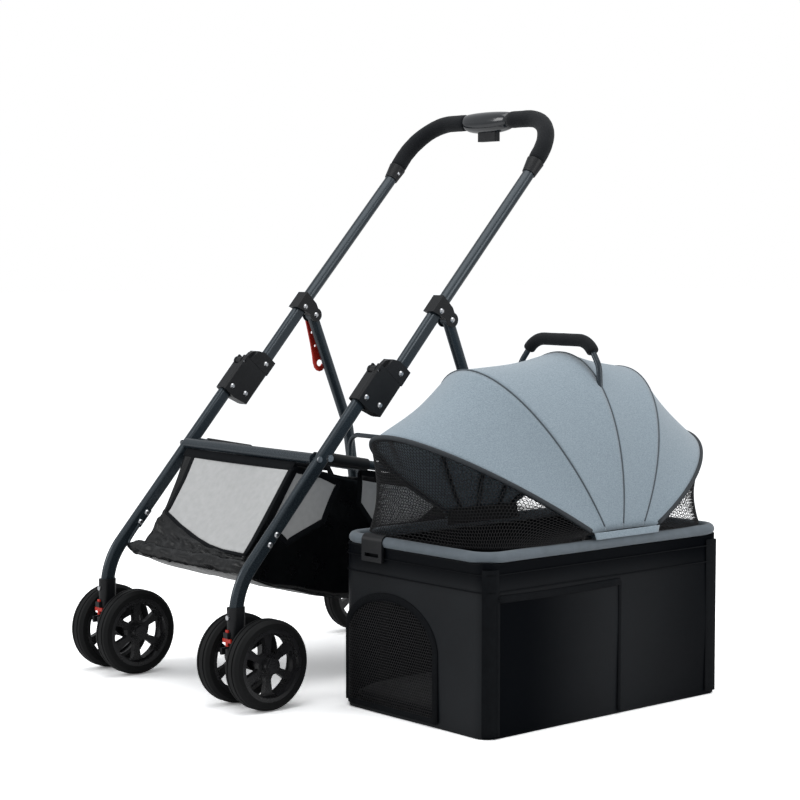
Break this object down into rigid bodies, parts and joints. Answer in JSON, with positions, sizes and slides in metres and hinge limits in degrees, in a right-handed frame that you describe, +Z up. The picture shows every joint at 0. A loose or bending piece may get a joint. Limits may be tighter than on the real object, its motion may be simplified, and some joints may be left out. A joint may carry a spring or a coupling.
{
  "type": "pet stroller",
  "caption": "Folding pet stroller frame with twin-wheel swivel casters and an under-basket, beside its lift-off carrier with a hooped canopy and net ends.",
  "frame": {"origin": "under the middle of the whole, chassis and carrier together, on the ground", "axes": "+Z up; -Y is the stroller's front, where the swivel casters are; +X is its left side, where the carrier stands"},
  "size_m": [0.8824, 0.8156, 1.01],
  "materials": {
    "slate_tube": "semi-gloss dark slate powder coat",
    "black_plastic": "satin black moulding",
    "gloss_black": "glossy dark grey moulding",
    "red_plastic": "satin red moulding",
    "foam": "matt black foam grip",
    "tyre": "matt black solid tyre",
    "hub_plastic": "black hub, slight sheen",
    "steel": "bright zinc-plated steel",
    "black_fabric": "coated black polyester",
    "grey_canopy": "heather blue-grey polyester",
    "black_net": "black hexagonal net",
    "rim_piping": "grey fabric over a steel tube",
    "board": "stiff floor board",
    "cushion": "padded black fleece"
  },
  "bodies": {
    "front_frame": {"front_legs": "slate_tube", "front_crossbar": "slate_tube", "hinge_housings": "black_plastic", "hinge_pins": "steel", "caster_collars": "black_plastic", "rail_bolts": "steel", "storage_basket": "black_fabric", "basket_wires": "slate_tube", "front_frame_screws": "steel"},
    "handle": {"mid_tubes": "slate_tube", "push_bar": "slate_tube", "foam_grips": "foam", "grip_collars": "black_plastic", "release_housing": "gloss_black", "hinge_knuckles": "black_plastic", "leg_brackets": "black_plastic", "leg_pivot_pins": "steel", "handle_screws": "steel"},
    "trigger_button": {"trigger": "black_plastic"},
    "latch": {"latch_bolts": "steel"},
    "hook": {"lock_hook": "red_plastic"},
    "rear_frame": {"rear_legs": "slate_tube", "rear_hub_blocks": "black_plastic", "rear_cross_tube": "slate_tube", "rear_axle": "steel"},
    "brake": {"brake_bar": "black_plastic"},
    "rear_wheel_left": {"rear_tyre_left": "tyre", "rear_hub_left": "hub_plastic"},
    "rear_wheel_right": {"rear_tyre_right": "tyre", "rear_hub_right": "hub_plastic"},
    "caster_left": {"caster_fork_left": "black_plastic", "caster_axle_left": "steel"},
    "caster_right": {"caster_fork_right": "black_plastic", "caster_axle_right": "steel"},
    "caster_wheels_left": {"caster_tyres_left": "tyre", "caster_hubs_left": "hub_plastic"},
    "caster_wheels_right": {"caster_tyres_right": "tyre", "caster_hubs_right": "hub_plastic"},
    "lock_left": {"swivel_lock_left": "red_plastic"},
    "lock_right": {"swivel_lock_right": "red_plastic"},
    "carrier_rails": {"side_rails": "slate_tube", "retaining_loop": "slate_tube", "rail_sleeves": "black_plastic"},
    "carrier": {"tub_shell": "black_fabric", "floor_board": "board", "rim_tube": "rim_piping", "cushion": "cushion", "window_mesh": "black_net", "hoop_mounts": "black_plastic", "strap_clip": "black_plastic", "carry_hoop": "slate_tube", "carry_grip": "foam", "canopy_front": "grey_canopy", "canopy_rear": "grey_canopy", "front_net": "black_net", "rear_net": "black_net"},
    "hoop_1": {"canopy_hoop_1": "slate_tube"},
    "hoop_2": {"canopy_hoop_2": "slate_tube"},
    "hoop_4": {"canopy_hoop_4": "slate_tube"},
    "hoop_5": {"canopy_hoop_5": "slate_tube"}
  },
  "joints": [
    {"name": "fold", "type": "hinge", "parent": "front_frame", "child": "handle", "pos_m": [-0.18775, -0.06968, 0.54419], "axis": [1, 0, 0], "range_deg": [0, 160]},
    {"name": "rear_leg_swing", "type": "hinge", "parent": "handle", "child": "rear_frame", "pos_m": [-0.18775, 0.09969, 0.6265], "axis": [1, 0, 0], "range_deg": [-40.91, 0]},
    {"name": "rail_swing", "type": "hinge", "parent": "front_frame", "child": "carrier_rails", "pos_m": [-0.18775, -0.17382, 0.3995], "axis": [1, 0, 0], "range_deg": [0, 80.84]},
    {"name": "trigger_pull", "type": "slide", "parent": "handle", "child": "trigger_button", "axis": [0, 0, 1], "range_m": [0, 0.0045], "stiffness_N_per_m": 900, "springref_m": -0.002},
    {"name": "latch_draw", "type": "slide", "parent": "handle", "child": "latch", "axis": [0, 0.6639, 0.7478], "range_m": [0, 0.0045], "stiffness_N_per_m": 500, "springref_m": -0.002},
    {"name": "hook_swing", "type": "hinge", "parent": "handle", "child": "hook", "pos_m": [-0.39605, 0.09969, 0.6265], "axis": [1, 0, 0], "range_deg": [-20, 60]},
    {"name": "brake_press", "type": "hinge", "parent": "rear_frame", "child": "brake", "pos_m": [-0.18775, 0.27118, 0.092], "axis": [-1, 0, 0], "range_deg": [0, 15]},
    {"name": "rear_wheel_left_spin", "type": "hinge", "parent": "rear_frame", "child": "rear_wheel_left", "pos_m": [0.03675, 0.23518, 0.075], "axis": [1, 0, 0], "continuous": true},
    {"name": "caster_left_swivel", "type": "hinge", "parent": "front_frame", "child": "caster_left", "pos_m": [0.00525, -0.36482, 0.124], "axis": [0, 0, 1], "continuous": true},
    {"name": "caster_wheels_left_spin", "type": "hinge", "parent": "caster_left", "child": "caster_wheels_left", "pos_m": [0.00525, -0.33282, 0.075], "axis": [1, 0, 0], "continuous": true},
    {"name": "swivel_lock_left_slide", "type": "slide", "parent": "front_frame", "child": "lock_left", "axis": [0, 0, 1], "range_m": [-0.006, 0]},
    {"name": "rear_wheel_right_spin", "type": "hinge", "parent": "rear_frame", "child": "rear_wheel_right", "pos_m": [-0.41225, 0.23518, 0.075], "axis": [1, 0, 0], "continuous": true},
    {"name": "caster_right_swivel", "type": "hinge", "parent": "front_frame", "child": "caster_right", "pos_m": [-0.38075, -0.36482, 0.124], "axis": [0, 0, 1], "continuous": true},
    {"name": "caster_wheels_right_spin", "type": "hinge", "parent": "caster_right", "child": "caster_wheels_right", "pos_m": [-0.38075, -0.33282, 0.075], "axis": [1, 0, 0], "continuous": true},
    {"name": "swivel_lock_right_slide", "type": "slide", "parent": "front_frame", "child": "lock_right", "axis": [0, 0, 1], "range_m": [-0.006, 0]},
    {"name": "carrier_lift", "type": "slide", "parent": "front_frame", "child": "carrier", "axis": [0, 0, 1], "range_m": [0, 0.3]},
    {"name": "canopy_front_open", "type": "hinge", "parent": "carrier", "child": "hoop_1", "pos_m": [0.26375, 0.02718, 0.2973], "axis": [-1, 0, 0], "range_deg": [0, 65], "deforming": ["canopy_front", "front_net"]},
    {"name": "canopy_hoop_2_follow", "type": "hinge", "parent": "carrier", "child": "hoop_2", "pos_m": [0.26375, 0.05518, 0.2973], "axis": [-1, 0, 0], "range_deg": [0, 36.1]},
    {"name": "canopy_rear_open", "type": "hinge", "parent": "carrier", "child": "hoop_5", "pos_m": [0.26375, 0.16318, 0.2973], "axis": [1, 0, 0], "range_deg": [0, 50], "deforming": ["canopy_rear", "rear_net"]},
    {"name": "canopy_hoop_4_follow", "type": "hinge", "parent": "carrier", "child": "hoop_4", "pos_m": [0.26375, 0.13718, 0.2973], "axis": [1, 0, 0], "range_deg": [0, 18.1]}
  ],
  "couplings": [
    {"joint": "rear_leg_swing", "follows": "fold", "ratio": -0.25562},
    {"joint": "rail_swing", "follows": "fold", "ratio": 0.50519},
    {"joint": "latch_draw", "follows": "trigger_pull", "ratio": 1},
    {"joint": "canopy_hoop_2_follow", "follows": "canopy_front_open", "ratio": 0.554},
    {"joint": "canopy_hoop_4_follow", "follows": "canopy_rear_open", "ratio": 0.36}
  ]
}
